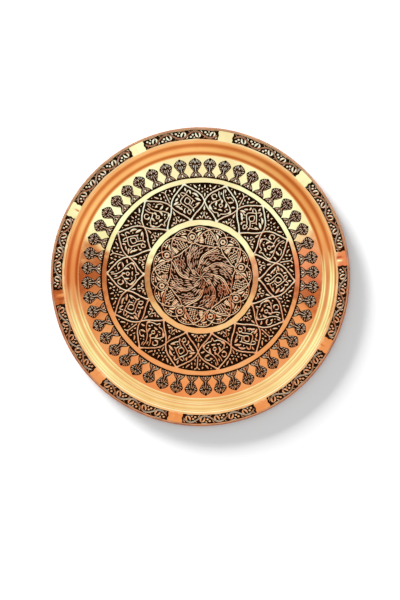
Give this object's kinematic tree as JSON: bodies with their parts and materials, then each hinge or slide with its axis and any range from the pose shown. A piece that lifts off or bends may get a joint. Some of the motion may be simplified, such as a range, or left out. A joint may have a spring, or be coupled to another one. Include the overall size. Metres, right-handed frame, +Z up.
{
  "type": "round serving tray",
  "caption": "Round copper tray with a flat floor, a stepped wall, a wide flat rim and an edge rolled over a steel wire, for serving or display.",
  "frame": {"origin": "centre of the flat base, on the surface that the tray stands on", "axes": "+Z up out of the well, along the axis of the round; +Y towards the top of the engraved pattern"},
  "size_m": [0.36, 0.36, 0.007],
  "materials": {
    "copper": "polished copper with a blackened engraved ground",
    "steel_wire": "plain drawn wire"
  },
  "bodies": {
    "root": {"tray_body": "copper", "rim_wire": "steel_wire"}
  },
  "joints": []
}
